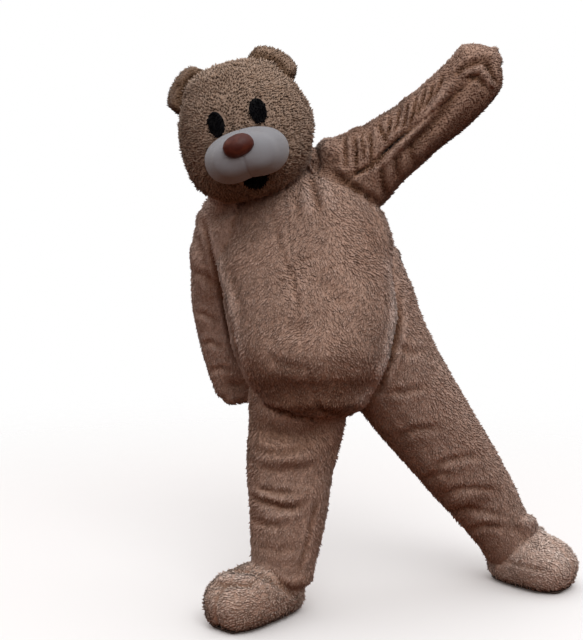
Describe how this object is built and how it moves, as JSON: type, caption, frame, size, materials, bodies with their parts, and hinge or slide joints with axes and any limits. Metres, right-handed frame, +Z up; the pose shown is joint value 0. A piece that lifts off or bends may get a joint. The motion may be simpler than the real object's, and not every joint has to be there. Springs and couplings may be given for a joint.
{
  "type": "bear mascot costume",
  "caption": "Bear mascot costume as worn and filled out: plush body suit with mitts and feet, and a head mask, with one arm raised and one leg out to the side.",
  "frame": {"origin": "inside the neck of the suit, at the base of the wearer's neck, 1.33 m above the soles", "axes": "+Z up, the face and belly towards -Y, the raised arm towards +X"},
  "size_m": [1.375, 0.7077, 1.7996],
  "materials": {
    "plush": "short curly brown plush",
    "head_plush": "short curly brown plush over a firm form",
    "foot_plush": "short curly brown plush",
    "sole_cloth": "tough plain dark cloth",
    "muzzle_cloth": "smooth short velour",
    "nose_vinyl": "smooth satin vinyl",
    "black_felt": "black felt"
  },
  "bodies": {
    "root": {"front_left": "plush", "front_right": "plush", "back": "plush", "left_sleeve_upper": "plush", "left_sleeve_under": "plush", "right_sleeve_upper": "plush", "right_sleeve_under": "plush", "left_leg_front": "plush", "left_leg_back": "plush", "right_leg_front": "plush", "right_leg_back": "plush", "left_foot_inner": "foot_plush", "left_foot_outer": "foot_plush", "right_foot_inner": "foot_plush", "right_foot_outer": "foot_plush", "head_face": "head_plush", "head_back": "head_plush", "ear_left_front": "head_plush", "ear_left_back": "head_plush", "ear_right_front": "head_plush", "ear_right_back": "head_plush", "left_sole": "sole_cloth", "right_sole": "sole_cloth", "muzzle_left": "muzzle_cloth", "muzzle_right": "muzzle_cloth", "nose": "nose_vinyl", "eye_left": "black_felt", "eye_right": "black_felt", "mouth": "black_felt"}
  },
  "joints": []
}
